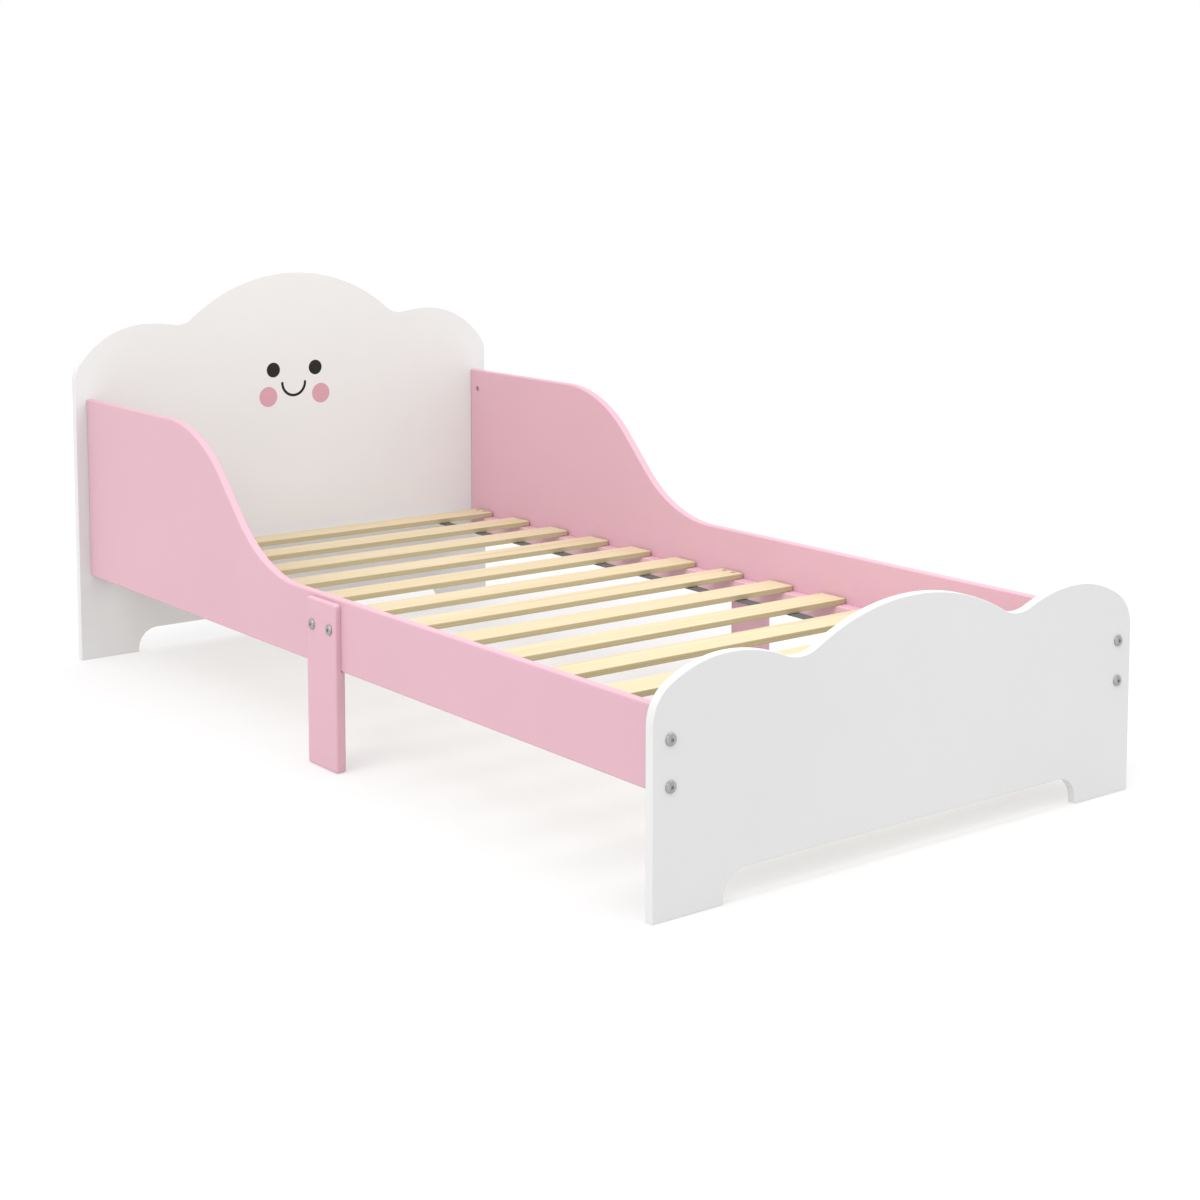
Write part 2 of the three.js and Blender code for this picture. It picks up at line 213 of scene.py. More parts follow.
def pine_material():
    """Planed pine: growth rings that run out in long arches, fine fibres, and side faces painted darker
    than the top as painted shade.
    """
    material, tree, shader = new_material("pine", (0.63, 0.54, 0.37), 0.6)
    place = add_node(tree, "ShaderNodeTexCoord")
    pith = add_node(tree, "ShaderNodeAttribute", attribute_name="pith")
    own_place = add_node(
        tree, "ShaderNodeVectorMath", operation="ADD",
        links=[(0, place.outputs["Object"]), (1, pith.outputs["Vector"])],
    ).outputs["Vector"]

    def along_grain(x, y, z, tilt=0.0):
        mapping = add_node(tree, "ShaderNodeMapping", links=[("Vector", own_place)])
        mapping.inputs["Rotation"].default_value = (0, tilt, tilt / 3)
        mapping.inputs["Scale"].default_value = (x, y, z)
        return mapping.outputs["Vector"]

    rings = add_node(
        tree, "ShaderNodeTexWave", links=[("Vector", along_grain(0.06, 1, 1, 0.022))],
        wave_type="RINGS", rings_direction="X", wave_profile="SAW",
        Scale=105, Distortion=2.4, Detail=2, **{"Detail Scale": 0.5},
    ).outputs["Fac"]
    fibre = noise(tree, along_grain(10, 800, 800), 1, detail=3)
    patch = noise(tree, along_grain(1.5, 14, 14), 1, detail=1)
    pale = (0.63, 0.54, 0.38)
    early = (0.62, 0.53, 0.357)
    late = (0.57, 0.465, 0.295)
    lines = colour_ramp(tree, rings, [(0.0, pale), (0.55, early), (0.9, late), (1.0, pale)])
    threads = colour_ramp(tree, fibre, [(0.3, (0.93, 0.92, 0.90)), (0.7, (1, 1, 1))])
    patches = colour_ramp(tree, patch, [(0.3, (0.97, 0.95, 0.92)), (0.7, (1, 1, 1))])
    upward = add_node(
        tree, "ShaderNodeSeparateXYZ", links=[("Vector", place.outputs["Normal"])],
    ).outputs["Z"]
    flatness = add_node(tree, "ShaderNodeMath", links=[(0, upward)], operation="ABSOLUTE").outputs[0]
    # Painted shade: faces that do not point up or down are darkened, standing in for less light reaching
    # the sides
    painted_side_shade = colour_ramp(tree, flatness, [(0.2, (0.69, 0.69, 0.61)), (0.9, (1, 1, 1))])
    tone = lines
    for layer in (threads, patches, painted_side_shade):
        tone = multiplied(tree, tone, layer)
    tree.links.new(tone, shader.inputs["Base Color"])
    tree.links.new(scaled(tree, fibre, 0.55, 0.72), shader.inputs["Roughness"])
    add_bump(tree, shader, fibre, 0.12, 0.0003)
    shader.inputs["Specular IOR Level"].default_value = 0.3
    return material


def webbing_material():
    """Dark grey polypropylene webbing: a close over-and-under weave with darker gaps between yarns."""
    material, tree, shader = new_material("webbing", (0.055, 0.055, 0.058), 0.85)
    place = object_coordinates(tree)
    warp = add_node(
        tree, "ShaderNodeTexWave", links=[("Vector", place)],
        wave_type="BANDS", bands_direction="X", Scale=190, Distortion=0.3,
    ).outputs["Fac"]
    weft = add_node(
        tree, "ShaderNodeTexWave", links=[("Vector", place)],
        wave_type="BANDS", bands_direction="Y", Scale=130, Distortion=0.3,
    ).outputs["Fac"]
    weave = add_node(
        tree, "ShaderNodeMath", links=[(0, warp), (1, weft)], operation="MULTIPLY",
    ).outputs[0]
    tone = colour_ramp(tree, weave, [(0.0, (0.028, 0.028, 0.03)), (0.8, (0.085, 0.085, 0.09))])
    tree.links.new(tone, shader.inputs["Base Color"])
    tree.links.new(scaled(tree, weave, 0.95, 0.75), shader.inputs["Roughness"])
    add_bump(tree, shader, weave, 0.7, 0.0004)
    shader.inputs["Sheen Weight"].default_value = 0.15
    return material


def zinc_material():
    """Satin zinc plate with faint blotches and fine turning marks."""
    material, tree, shader = new_material("zinc", (0.38, 0.38, 0.39), 0.42, metallic=0.9)
    place = object_coordinates(tree)
    blotch = noise(tree, place, 260, detail=3)
    tone = colour_ramp(tree, blotch, [(0.3, (0.32, 0.32, 0.33)), (0.7, (0.44, 0.44, 0.45))])
    tree.links.new(tone, shader.inputs["Base Color"])
    tree.links.new(scaled(tree, blotch, 0.34, 0.52), shader.inputs["Roughness"])
    add_bump(tree, shader, noise(tree, place, 2500), 0.15, 0.0001)
    return material


def print_material(name, colour):
    """Flat screen-printed ink with a very slight mottle."""
    material, tree, shader = new_material(name, colour, 0.55)
    mottle = noise(tree, object_coordinates(tree), 700, detail=2)
    darker = tuple(c * 0.92 for c in colour)
    tone = colour_ramp(tree, mottle, [(0.3, darker), (0.7, colour)])
    tree.links.new(tone, shader.inputs["Base Color"])
    tree.links.new(scaled(tree, mottle, 0.5, 0.62), shader.inputs["Roughness"])
    shader.inputs["Specular IOR Level"].default_value = 0.3
    return material


def floor_material():
    """A pale translucent sweep, lit a little from below so that shadows on it stay light."""
    material, tree, shader = new_material("studio_floor", (0.42, 0.42, 0.42), 0.9)
    faint = noise(tree, object_coordinates(tree), 1.5, detail=2)
    tone = colour_ramp(tree, faint, [(0.3, (0.415, 0.415, 0.415)), (0.7, (0.425, 0.425, 0.425))])
    tree.links.new(tone, shader.inputs["Base Color"])
    shader.inputs["Specular IOR Level"].default_value = 0.0
    shader.inputs["Emission Color"].default_value = (1, 1, 1, 1)
    shader.inputs["Emission Strength"].default_value = 0.46
    return material


WHITE = paint_material("white_paint", (0.655, 0.656, 0.655), 0.985)
PINK = paint_material("pink_paint", (0.607, 0.366, 0.432), 0.98)
PINE = pine_material()
WEBBING = webbing_material()
ZINC = zinc_material()
BLACK_INK = print_material("black_ink", (0.008, 0.0075, 0.007))
BLUSH_INK = print_material("blush_ink", (0.565, 0.303, 0.356))


# ---------------------------------------------------------------- mesh helpers

def arc(x, z, radius, start, end, step=0.045):
    """Points along a circular arc, step radians apart or closer."""
    count = max(3, math.ceil(abs(end - start) / step))
    angles = [start + (end - start) * i / count for i in range(count + 1)]
    return [(x + radius * math.cos(a), z + radius * math.sin(a)) for a in angles]


def evaluated_mesh(obj, name):
    """A new mesh of the object with its modifiers applied."""
    graph = bpy.context.evaluated_depsgraph_get()
    mesh = bpy.data.meshes.new_from_object(obj.evaluated_get(graph))
    mesh.name = name
    return mesh


def outline_body(name, outline, thickness, edge):
    """A flat body of that outline in its own XY plane, thickness along Z, with rounded edges."""
    curve = bpy.data.curves.new(name, "CURVE")
    curve.dimensions = "2D"
    curve.fill_mode = "BOTH"
    curve.extrude = thickness / 2 - edge
    curve.bevel_depth = edge
    curve.bevel_resolution = 3
    curve.offset = -edge
    spline = curve.splines.new("POLY")
    spline.points.add(len(outline) - 1)
    for point, (x, y) in zip(spline.points, outline):
        point.co = (x, y, 0, 1)
    spline.use_cyclic_u = True
    source = bpy.data.objects.new(name, curve)
    bpy.context.collection.objects.link(source)
    mesh = evaluated_mesh(source, name)
    bpy.data.objects.remove(source)
    body = bmesh.new()
    body.from_mesh(mesh)
    bmesh.ops.remove_doubles(body, verts=body.verts, dist=1e-6)
    bmesh.ops.recalc_face_normals(body, faces=body.faces)
    body.to_mesh(mesh)
    body.free()
    return mesh


def finished_mesh(body, name):
    """The mesh of a finished bmesh, which is freed."""
    mesh = bpy.data.meshes.new(name)
    body.to_mesh(mesh)
    body.free()
    return mesh


def rounded_box(name, size, radius, segments=3):
    """A box of that size centred on its own origin, with every edge rounded."""
    body = bmesh.new()
    bmesh.ops.create_cube(body, size=1, matrix=Matrix.Diagonal((*size, 1)))
    bmesh.ops.bevel(
        body, geom=body.edges[:], offset=radius, segments=segments, profile=0.5, affect="EDGES",
    )
    return finished_mesh(body, name)


def lathe(name, profile, turns=48):
    """A closed body of revolution about Z from (radius, height) points that start and end on the axis."""
    body = bmesh.new()
    rings = []
    for radius, height in profile:
        if radius == 0:
            rings.append([body.verts.new((0, 0, height))])
            continue
        angles = [2 * math.pi * i / turns for i in range(turns)]
        rings.append([
            body.verts.new((radius * math.cos(a), radius * math.sin(a), height)) for a in angles
        ])
    for low, high in zip(rings, rings[1:]):
        for i in range(turns):
            j = (i + 1) % turns
            corners = [low[i % len(low)], low[j % len(low)], high[j % len(high)], high[i % len(high)]]
            body.faces.new(list(dict.fromkeys(corners)))
    bmesh.ops.recalc_face_normals(body, faces=body.faces)
    return finished_mesh(body, name)


def joined_mesh(name, parts):
    """One mesh from (mesh, matrix) parts."""
    whole = bmesh.new()
    for mesh, matrix in parts:
        part = mesh.copy()
        part.transform(matrix)
        whole.from_mesh(part)
        bpy.data.meshes.remove(part)
    return finished_mesh(whole, name)


def carve(mesh, tools):
    """Cuts the tool meshes, each given with its matrix, out of a mesh and returns the new mesh."""
    target = bpy.data.objects.new("carve_target", mesh)
    bpy.context.collection.objects.link(target)
    cutter = joined_mesh("carve_tools", tools)
    tool = bpy.data.objects.new("carve_tool", cutter)
    bpy.context.collection.objects.link(tool)
    boolean = target.modifiers.new("cut", "BOOLEAN")
    boolean.operation = "DIFFERENCE"
    boolean.solver = "EXACT"
    boolean.object = tool
    result = evaluated_mesh(target, mesh.name)
    bpy.data.objects.remove(target)
    bpy.data.objects.remove(tool)
    return result


def place_piece(name, mesh, material, matrix, stands_for=()):
    """Shows a mesh as a smooth-shaded piece that rides on the bed and stands for CAD nodes."""
    piece = bpy.data.objects.new(name, mesh)
    bpy.context.collection.objects.link(piece)
    piece.matrix_world = matrix
    mesh.materials.clear()
    mesh.materials.append(material)
    mesh.shade_smooth()
    mesh.set_sharp_from_angle(angle=SHARP_ANGLE)
    weighted = piece.modifiers.new("face_weighted_normals", "WEIGHTED_NORMAL")
    weighted.keep_sharp = True
    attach(piece, BODY)
    if stands_for:
        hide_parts(*stands_for)
    return piece


def box_middle(node):
    """The middle of a CAD node's box."""
    low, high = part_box(node)
    return (low + high) / 2


def box_size(node):
    """The size of a CAD node's box along X, Y and Z."""
    low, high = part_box(node)
    return high - low


# Outline in XZ with thickness along Y, and outline in YZ with thickness along X
STAND_ACROSS = Matrix(((1, 0, 0, 0), (0, 0, -1, 0), (0, 1, 0, 0), (0, 0, 0, 1)))
STAND_ALONG = Matrix(((0, 0, 1, 0), (1, 0, 0, 0), (0, 1, 0, 0), (0, 0, 0, 1)))


# ---------------------------------------------------------------- painted boards

def crest_outline(crest, width):
    """The top of a board from its right edge to its left edge."""
    c = {key: value * MM for key, value in crest.items()}
    # Centres of the arcs, in X and Z
    hump = Vector((0, c["top"] - c["hump"]))
    inner = Vector((c["ear_x"], c["ear_top"] - c["ear_inner"]))
    outer = Vector((c["ear_x"], c["ear_top"] - c["ear_outer"]))
    corner_x = width / 2 - c["corner"]
    reach = c["ear_outer"] - c["corner"]
    corner = Vector((corner_x, outer.y + math.sqrt(reach ** 2 - (corner_x - c["ear_x"]) ** 2)))

    # The hollow's arc touches both the hump and the ear from above
    along = inner - hump
    distance = along.length
    along.normalize()
    hump_reach = c["hump"] + c["hollow"]
    inner_reach = c["ear_inner"] + c["hollow"]
    u = (hump_reach ** 2 - inner_reach ** 2 + distance ** 2) / (2 * distance)
    v = math.sqrt(hump_reach ** 2 - u ** 2)
    hollow = hump + along * u + Vector((-along.y, along.x)) * v

    def heading(start, end):
        return math.atan2(end.y - start.y, end.x - start.x)

    half = arc(*corner, c["corner"], 0, heading(outer, corner))
    half += arc(*outer, c["ear_outer"], heading(outer, corner), QUARTER)[1:]
    half += arc(*inner, c["ear_inner"], QUARTER, heading(inner, hollow))[1:]
    half += arc(*hollow, c["hollow"], heading(hollow, inner), heading(hollow, hump))[1:]
    half += arc(*hump, c["hump"], heading(hump, hollow), QUARTER)[1:]
    return half + [(-x, z) for x, z in reversed(half[:-1])]


def board_outline(crest, width):
    """Two feet with a low arch between them, and the crest on top."""
    edge = width / 2
    foot_end = edge - FOOT_WIDTH
    corner_x = foot_end - ARCH_RADIUS
    corner_z = ARCH_HEIGHT - ARCH_RADIUS
    return [
        (-edge, 0), (-foot_end, 0),
        *arc(-corner_x, corner_z, ARCH_RADIUS, 2 * QUARTER, QUARTER),
        *arc(corner_x, corner_z, ARCH_RADIUS, QUARTER, 0),
        (foot_end, 0), (edge, 0),
        *crest_outline(crest, width),
    ]


def bore(radius, length, x, y, z, along):
    """A cutting cylinder through a point, running along X or Y."""
    profile = [(0, -length / 2), (radius, -length / 2), (radius, length / 2), (0, length / 2)]
    turn = Matrix.Rotation(QUARTER, 4, "Y" if along == "X" else "X")
    return lathe("bore", profile, 32), Matrix.Translation((x, y, z)) @ turn


def make_board(node, crest, end):
    """An end board with a bore for each bolt."""
    size = box_size(node)
    middle = box_middle(node)
    mesh = outline_body(node, board_outline(crest, size.x), size.y, BOARD_EDGE)
    mesh.transform(Matrix.Translation((0, middle.y, 0)) @ STAND_ACROSS)
    bores = []
    for side, _ in SIDES:
        for level in LEVELS:
            bolt = box_middle(f"bolt_{end}_{side}_{level}")
            bores.append(bore(BOLT_BORE_RADIUS, 4 * size.y, bolt.x, middle.y, bolt.z, "Y"))
    place_piece(f"{node}_painted", carve(mesh, bores), WHITE, Matrix(), [node])


def rail_outline(node):
    """Low part, a sweep made of two arcs and a slope, then the high part beside the pillow."""
    low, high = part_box(node)
    rise = high.z - RAIL_LOW_TOP
    cos, sin = math.cos(SWEEP_ANGLE), math.sin(SWEEP_ANGLE)
    radius = (SWEEP_RUN * sin - rise * cos) / (2 * (1 - cos))
    high_y = SWEEP_Y + SWEEP_RUN / 2
    low_y = SWEEP_Y - SWEEP_RUN / 2
    return [
        (low.y, low.z), (high.y, low.z), (high.y, high.z),
        *arc(high_y, high.z - radius, radius, QUARTER, QUARTER + SWEEP_ANGLE),
        *arc(low_y, RAIL_LOW_TOP + radius, radius, SWEEP_ANGLE - QUARTER, -QUARTER),
        (low.y, RAIL_LOW_TOP),
    ]


def nut_bores(side, sign, rail_middle, rail_size):
    """Blind holes in the inner face of a rail, for the barrel nuts."""
    bores = []
    for end, _ in ENDS:
        for level in LEVELS:
            nut = f"barrel_nut_{end}_{side}_{level}"
            place, size = box_middle(nut), box_size(nut)
            deep = rail_middle.x + sign * (size.x / 2 + GAP)
            opening = rail_middle.x - sign * (rail_size.x / 2 + 1 * MM)
            radius = size.z / 2 + GAP
            x = (deep + opening) / 2
            bores.append(bore(radius, abs(deep - opening), x, place.y, place.z, "X"))
    return bores


def bolt_bores(side, sign, rail_middle, rail_size):
    """Holes in the ends of a rail for the end bolts, and in its outer face for the leg bolts."""
    bores = []
    for end, end_sign in ENDS:
        for level in LEVELS:
            low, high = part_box(f"bolt_{end}_{side}_{level}")
            bolt = (low + high) / 2
            tip = high.y if end_sign < 0 else low.y
            depth = abs(end_sign * rail_size.y / 2 - tip) + 2 * MM
            y = end_sign * (rail_size.y / 2 + 1 * MM - depth / 2)
            bores.append(bore(BOLT_BORE_RADIUS, depth, bolt.x, y, bolt.z, "Y"))
    for number in (1, 2):
        low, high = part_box(f"bolt_leg_{side}_{number}")
        bolt = (low + high) / 2
        tip = high.x if sign < 0 else low.x
        opening = rail_middle.x + sign * (rail_size.x / 2 + 1 * MM)
        deep = tip - sign * 0.4 * MM
        x = (opening + deep) / 2
        bores.append(bore(BOLT_BORE_RADIUS, abs(opening - deep), x, bolt.y, bolt.z, "X"))
    return bores


def make_rail(side, sign):
    node = f"{side}_side_rail"
    middle, size = box_middle(node), box_size(node)
    mesh = outline_body(node, rail_outline(node), size.x, RAIL_EDGE)
    mesh.transform(Matrix.Translation((middle.x, 0, 0)) @ STAND_ALONG)
    rail = carve(mesh, nut_bores(side, sign, middle, size))
    rail = carve(rail, bolt_bores(side, sign, middle, size))
    place_piece(f"{node}_painted", rail, PINK, Matrix(), [node])


def rounded_rectangle(width, height, radius):
    """A rectangle round the origin, with round corners."""
    x, z = width / 2 - radius, height / 2 - radius
    return [
        *arc(-x, -z, radius, 2 * QUARTER, 3 * QUARTER, 0.2),
        *arc(x, -z, radius, -QUARTER, 0, 0.2),
        *arc(x, z, radius, 0, QUARTER, 0.2),
        *arc(-x, z, radius, QUARTER, 2 * QUARTER, 0.2),
    ]


def make_leg(side, sign):
    """A rounded board with a step on its inner face, in which the rail sits."""
    node = f"{side}_middle_leg"
    low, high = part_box(node)
    middle, size = box_middle(node), box_size(node)
    rail_low, rail_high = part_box(f"{side}_side_rail")
    mesh = outline_body(node, rounded_rectangle(size.y, size.z, LEG_CORNER), size.x, LEG_EDGE)
    mesh.transform(Matrix.Translation(middle) @ STAND_ALONG)
    rail_face = (rail_low.x if sign < 0 else rail_high.x) + sign * GAP
    inner_face = high.x if sign < 0 else low.x
    spare = 2 * MM  # how far the cutter reaches past the leg
    step_low = rail_low.z - GAP
    step_high = high.z + spare
    step = rounded_box("step", (
        abs(rail_face - inner_face) + spare, size.y + 2 * spare, step_high - step_low,
    ), 0.2 * MM, 1)
    step_place = Matrix.Translation((
        (rail_face + inner_face - sign * spare) / 2, middle.y, (step_low + step_high) / 2,
    ))
    bores = []
    for number in (1, 2):
        bolt = box_middle(f"bolt_leg_{side}_{number}")
        bores.append(bore(BOLT_BORE_RADIUS, 4 * size.x, middle.x, bolt.y, bolt.z, "X"))
    leg = carve(carve(mesh, [(step, step_place)]), bores)
    place_piece(f"{node}_painted", leg, PINK, Matrix(), [node])


# ---------------------------------------------------------------- slat base

def screw_nodes(prefix):
    """The names of the screws of the slats whose names start like that."""
    return sorted(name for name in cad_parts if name.startswith(prefix) and "_screw_" in name)


def countersink():
    """Profile of the hole for a countersunk screw, with the top of the screw at the origin."""
    head = SCREW_HEAD_RADIUS + GAP
    shank = SCREW_SHANK_RADIUS + GAP
    return [
        (0, -SCREW_LENGTH - GAP), (shank, -SCREW_LENGTH + 2.2 * MM), (shank, -2.2 * MM),
        (head, -0.2 * MM), (head, 1 * MM), (0, 1 * MM),
    ]


def screw_top(node):
    """The middle of the top of a screw's head."""
    low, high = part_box(node)
    return Vector(((low.x + high.x) / 2, (low.y + high.y) / 2, high.z))


def make_ledger(side):
    node = f"{side}_slat_ledger"
    mesh = rounded_box(node, box_size(node), LEDGER_EDGE)
    mesh.transform(Matrix.Translation(box_middle(node)))
    holes = [
        (lathe("hole", countersink(), 24), Matrix.Translation(screw_top(name)))
        for name in screw_nodes("slat_") if f"_{side}_" in name
    ]
    place_piece(f"{node}_painted", carve(mesh, holes), PINK, Matrix(), [node])


def make_slat(number):
    """A slat with its origin in its middle. Its own place in the log gives it its own grain."""
    node = f"slat_{number:02d}"
    middle = box_middle(node)
    mesh = rounded_box(node, box_size(node), SLAT_EDGE)
    holes = [
        (lathe("hole", countersink(), 32), Matrix.Translation(screw_top(name) - middle))
        for name in screw_nodes(node)
    ]
    if holes:
        mesh = carve(mesh, holes)
    pith = mesh.attributes.new("pith", "FLOAT_VECTOR", "POINT")
    golden = number * 0.618 % 1
    place_in_log = (number * 0.37, 0.06 * golden - 0.03, 0.025 + 0.05 * (number * 0.382 % 1))
    pith.data.foreach_set("vector", place_in_log * len(mesh.vertices))
    place_piece(f"{node}_pine", mesh, PINE, Matrix.Translation(middle), [node])


def make_strap(side):
    """Webbing drawn under the slats: it touches each slat and hangs a little in the gaps."""
    node = f"{side}_slat_strap"
    low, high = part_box(node)
    middle = (low + high) / 2
    width, length, thickness = high - low
    slat_ys = [box_middle(f"slat_{number:02d}").y for number in range(1, SLAT_COUNT + 1)]
    pitch = slat_ys[0] - slat_ys[1]
    half_thick = (thickness - STRAP_SAG) / 2
    section = rounded_rectangle(width, 2 * half_thick, half_thick * 0.98)
    body = bmesh.new()
    rings = []
    for i in range(STRAP_STEPS + 1):
        y = -length / 2 + length * i / STRAP_STEPS
        drop = STRAP_SAG * (1 - math.cos(2 * math.pi * (y - slat_ys[-1]) / pitch)) / 2
        centre = high.z - middle.z - drop - half_thick
        rings.append([body.verts.new((x, y, centre + z)) for x, z in section])
    count = len(section)
    for near, far in zip(rings, rings[1:]):
        for k in range(count):
            body.faces.new((near[k], near[(k + 1) % count], far[(k + 1) % count], far[k]))
    body.faces.new(rings[0])
    body.faces.new(rings[-1])
    bmesh.ops.recalc_face_normals(body, faces=body.faces)
    mesh = finished_mesh(body, node)
    place_piece(f"{node}_webbing", mesh, WEBBING, Matrix.Translation(middle), [node])
    make_staples(side, middle.x, low.z, slat_ys)


def make_staples(side, x, strap_bottom, slat_ys):
    """Two wire staples hold the strap to the underside of each slat."""
    crown = rounded_box("staple", (STAPLE_WIDTH, STAPLE_WIRE, STAPLE_HEIGHT), 0.2 * MM, 2)
    parts = []
    for y in slat_ys:
        for offset in (-STAPLE_OFFSET, STAPLE_OFFSET):
            place = Vector((x, y + offset, strap_bottom + 0.3 * MM))
            parts.append((crown, Matrix.Translation(place)))
    place_piece(f"{side}_strap_staples", joined_mesh("staples", parts), ZINC, Matrix())


# ---------------------------------------------------------------- fasteners

def socket_tool(radius, depth, height):
    """A hexagonal cutter for a socket whose mouth is at the given height."""
    low, high = height - depth, height + depth
    profile = [(0, low - 0.5 * MM), (radius, low), (radius, high), (0, high)]
    return lathe("socket", profile, 6)


def bolt_mesh(name, length):
    """A furniture bolt along Z: domed flat head with a hexagon socket, seated at the origin."""
    r, h, shank = BOLT_HEAD_RADIUS, BOLT_HEAD_HEIGHT, BOLT_SHANK_RADIUS
    tip = [(0, -length), (shank - 0.5 * MM, -length), (shank, -length + 0.6 * MM), (shank, GAP)]
    rim = [(r - 0.3 * MM, GAP), (r, GAP + 0.3 * MM), (r, GAP + 0.9 * MM), (r - 0.25 * MM, GAP + 1.35 * MM)]
    dome = [(r - 1.0 * MM, h - 0.35 * MM), (r - 2.2 * MM, h - 0.08 * MM), (r - 3.2 * MM, h), (0, h)]
    socket = socket_tool(SOCKET_RADIUS, SOCKET_DEPTH, h)
    return carve(lathe(name, tip + rim + dome), [(socket, Matrix())])


def make_bolt(node, direction):
    """A bolt in its CAD node's place; direction points from its tip to its head."""
    low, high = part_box(node)
    middle = (low + high) / 2
    axis = 1 if abs(direction.y) > 0.5 else 0
    reach = high[axis] - low[axis]
    head_face = high[axis] if direction[axis] > 0 else low[axis]
    mesh = bolt_mesh(node, reach - BOLT_HEAD_HEIGHT)
    seat = middle.copy()
    seat[axis] = head_face - direction[axis] * BOLT_HEAD_HEIGHT
    turn = direction.to_track_quat("Z", "X").to_matrix().to_4x4()
    place_piece(f"{node}_zinc", mesh, ZINC, Matrix.Translation(seat) @ turn, [node])


def make_barrel_nut(node, sign):
    """A cross dowel with a slotted end that shows in the hole in the rail's inner face."""
    size, middle = box_size(node), box_middle(node)
    r, half = size.z / 2, size.x / 2
    profile = [
        (0, -half), (r - 0.3 * MM, -half), (r, -half + 0.3 * MM),
        (r, half - 0.3 * MM), (r - 0.3 * MM, half), (0, half),
    ]
    slot = rounded_box("slot", (SLOT_WIDTH, 4 * r, 2 * MM), 0.1 * MM, 1)
    thread = bore(BOLT_BORE_RADIUS, 4 * r, 0, 0, 0, "Y")
    mesh = carve(carve(lathe(node, profile), [(slot, Matrix.Translation((0, 0, half)))]), [thread])
    facing = Matrix.Rotation(-sign * QUARTER, 4, "Y")
    place_piece(f"{node}_zinc", mesh, ZINC, Matrix.Translation(middle) @ facing, [node])


def make_slat_screw(node):
    """A countersunk wood screw with a cross recess."""
    r = SCREW_HEAD_RADIUS
    shank = SCREW_SHANK_RADIUS
    profile = [
        (0, -SCREW_LENGTH), (shank, -SCREW_LENGTH + 3 * MM), (shank, -2.0 * MM),
        (r - 0.1 * MM, -0.35 * MM), (r, -0.2 * MM), (r - 0.15 * MM, -0.02 * MM), (0, 0),
    ]
    blade = rounded_box("blade", (CROSS_LENGTH, CROSS_WIDTH, 1.8 * MM), 0.1 * MM, 1)
    crossed = Matrix.Rotation(QUARTER, 4, "Z")
    mesh = carve(carve(lathe(node, profile, 32), [(blade, Matrix())]), [(blade, crossed)])
    # The screws on the left and on the right stop at different angles
    turn = Matrix.Rotation(math.radians(23 * len(node)), 4, "Z")
    place_piece(f"{node}_zinc", mesh, ZINC, Matrix.Translation(screw_top(node)) @ turn, [node])


# ---------------------------------------------------------------- printed face

def print_piece(name, material, outline, x, z):
    """A flat shape of ink on the front of the headboard."""
    face_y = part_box("headboard")[0].y
    body = bmesh.new()
    front = [body.verts.new((u, -PRINT_THICKNESS, v)) for u, v in outline]
    back = [body.verts.new((u, PRINT_THICKNESS, v)) for u, v in outline]
    body.faces.new(front)
    body.faces.new(reversed(back))
    for i in range(len(front)):
        j = (i + 1) % len(front)
        body.faces.new((front[j], front[i], back[i], back[j]))
    bmesh.ops.recalc_face_normals(body, faces=body.faces)
    place_piece(name, finished_mesh(body, name), material, Matrix.Translation((x, face_y, z)))


def disc_outline(radius):
    return arc(0, 0, radius, 0, 2 * math.pi, 0.08)[:-1]


def smile_outline():
    """A half-circle stroke with round ends."""
    half_stroke = SMILE_STROKE / 2
    below = arc(0, 0, SMILE_RADIUS + half_stroke, math.pi, 2 * math.pi, 0.08)
    right_end = arc(SMILE_RADIUS, 0, half_stroke, 0, math.pi, 0.3)
    above = arc(0, 0, SMILE_RADIUS - half_stroke, 2 * math.pi, math.pi, 0.08)
    left_end = arc(-SMILE_RADIUS, 0, half_stroke, 0, math.pi, 0.3)
    return below + right_end[1:-1] + above + left_end[1:-1]


def make_face_print():
    """A simple smile: two dots, two cheeks and an arc."""
    for side, sign in SIDES:
        eye_x = FACE_X + sign * EYE_SPREAD
        cheek_x = FACE_X + sign * CHEEK_SPREAD
        print_piece(f"print_eye_{side}", BLACK_INK, disc_outline(EYE_RADIUS), eye_x, EYE_Z)
        print_piece(f"print_cheek_{side}", BLUSH_INK, disc_outline(CHEEK_RADIUS), cheek_x, CHEEK_Z)
    print_piece("print_smile", BLACK_INK, smile_outline(), SMILE_X, SMILE_Z)


# ---------------------------------------------------------------- camera, light and floor

def make_camera():
    """Looks from the front left, a little above the bed."""
    camera = bpy.data.objects.new("camera", bpy.data.cameras.new("camera"))
    bpy.context.collection.objects.link(camera)
    camera.location = (-1.727, -2.379, 0.814)
    camera.rotation_euler = (math.radians(90 - 5.98), 0, math.radians(-37.5))
    camera.data.sensor_width = 36
    camera.data.lens = 63.96
    camera.data.shift_y = -0.2
    bpy.context.scene.camera = camera


def soft_sun(name, towards_light, strength, spread):
    """Even light over the whole floor from one side, soft as from a large diffuser."""
    light = bpy.data.lights.new(name, "SUN")
    light.energy = strength
    light.angle = spread
    lamp = bpy.data.objects.new(name, light)
    bpy.context.collection.objects.link(lamp)
    lamp.rotation_euler = Vector(towards_light).to_track_quat("Z", "Y").to_euler()


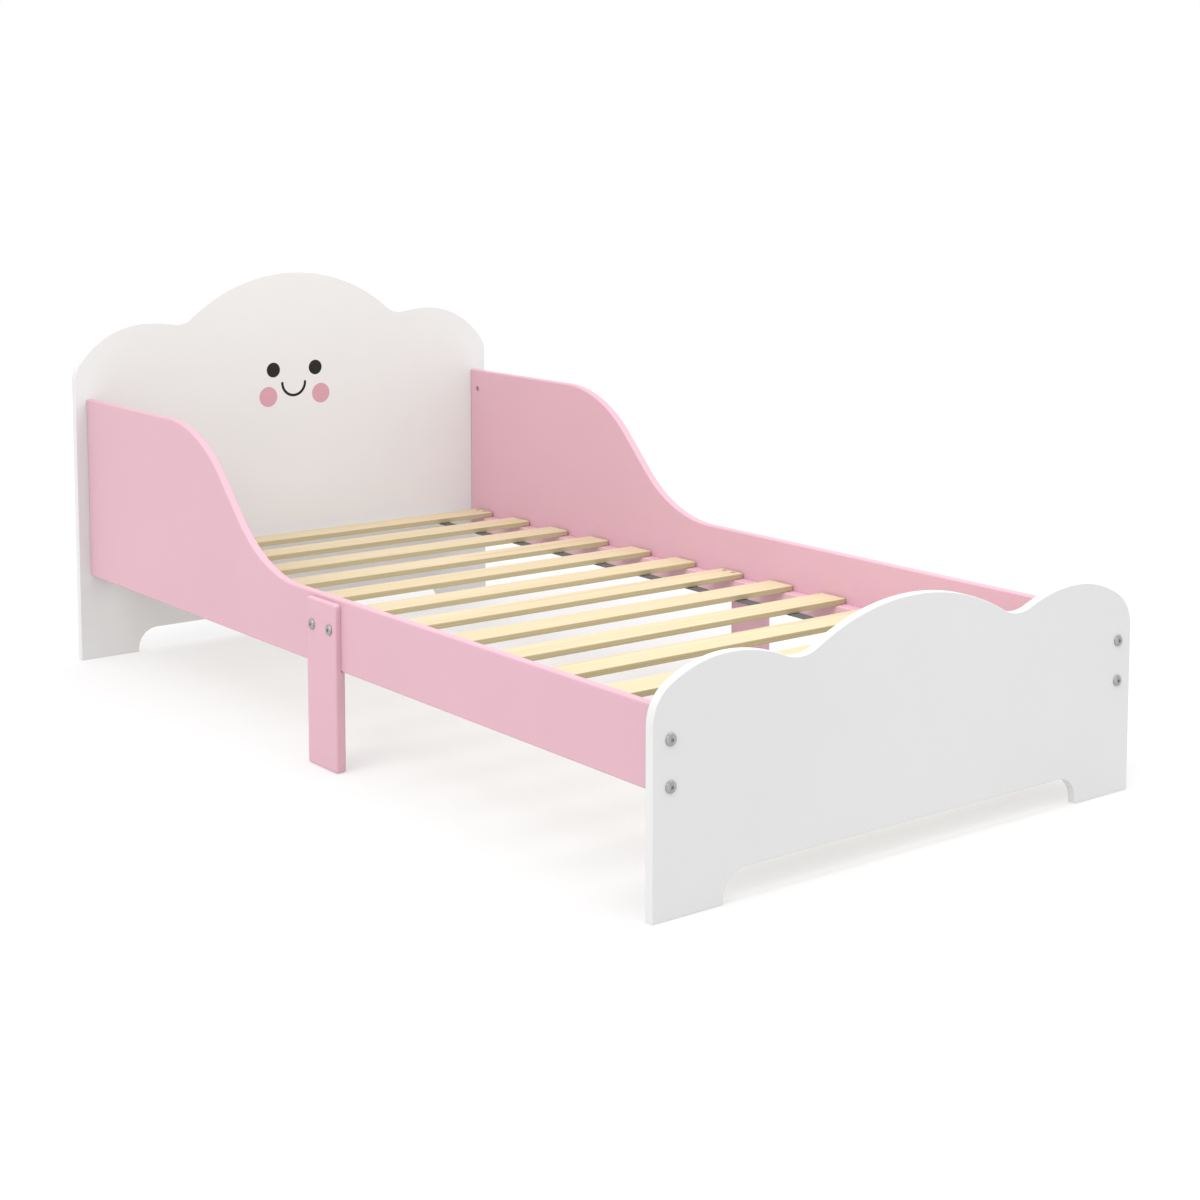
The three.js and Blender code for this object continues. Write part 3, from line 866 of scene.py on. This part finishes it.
def soft_panel(name, place, target, size, power):
    """A round diffuser that the camera doesn't see, near enough to brighten only what faces it."""
    light = bpy.data.lights.new(name, "AREA")
    light.shape = "DISK"
    light.size = size
    light.energy = power
    lamp = bpy.data.objects.new(name, light)
    bpy.context.collection.objects.link(lamp)
    lamp.location = place
    lamp.rotation_euler = (Vector(place) - Vector(target)).to_track_quat("Z", "Y").to_euler()
    lamp.visible_camera = False


def make_studio():
    """White surroundings, two soft suns, a fill panel and the floor."""
    world = bpy.data.worlds.new("studio")
    world.use_nodes = True
    background = world.node_tree.nodes["Background"]
    background.inputs["Color"].default_value = (1, 1, 1, 1)
    background.inputs["Strength"].default_value = 1.0
    bpy.context.scene.world = world
    soft_sun("key", (-1, -0.28, 0.85), 1.05, math.radians(40))
    soft_sun("overhead", (0, -0.1, 1), 0.78, math.radians(70))
    soft_panel("fill", (0, -0.6, 1.0), (0, 0.7, 0.35), 0.9, 5.8)
    bpy.context.scene.view_settings.view_transform = "Standard"
    body = bmesh.new()
    bmesh.ops.create_circle(body, cap_ends=True, radius=FLOOR_RADIUS, segments=64)
    floor = bpy.data.objects.new("floor", finished_mesh(body, "floor"))
    floor.data.materials.append(floor_material())
    bpy.context.collection.objects.link(floor)
    floor.location.z = -FLOOR_DROP


make_camera()
make_studio()
make_board("footboard", FOOT_CREST, "foot")
make_board("headboard", HEAD_CREST, "head")
for side_name, side_sign in SIDES:
    make_rail(side_name, side_sign)
    make_leg(side_name, side_sign)
    make_ledger(side_name)
    make_strap(side_name)
    for leg_bolt in (1, 2):
        make_bolt(f"bolt_leg_{side_name}_{leg_bolt}", Vector((side_sign, 0, 0)))
    for end_name, end_sign in ENDS:
        for bolt_level in LEVELS:
            fastener = f"{end_name}_{side_name}_{bolt_level}"
            make_bolt(f"bolt_{fastener}", Vector((0, end_sign, 0)))
            make_barrel_nut(f"barrel_nut_{fastener}", side_sign)
for slat_number in range(1, SLAT_COUNT + 1):
    make_slat(slat_number)
for screw in screw_nodes("slat_"):
    make_slat_screw(screw)
make_face_print()
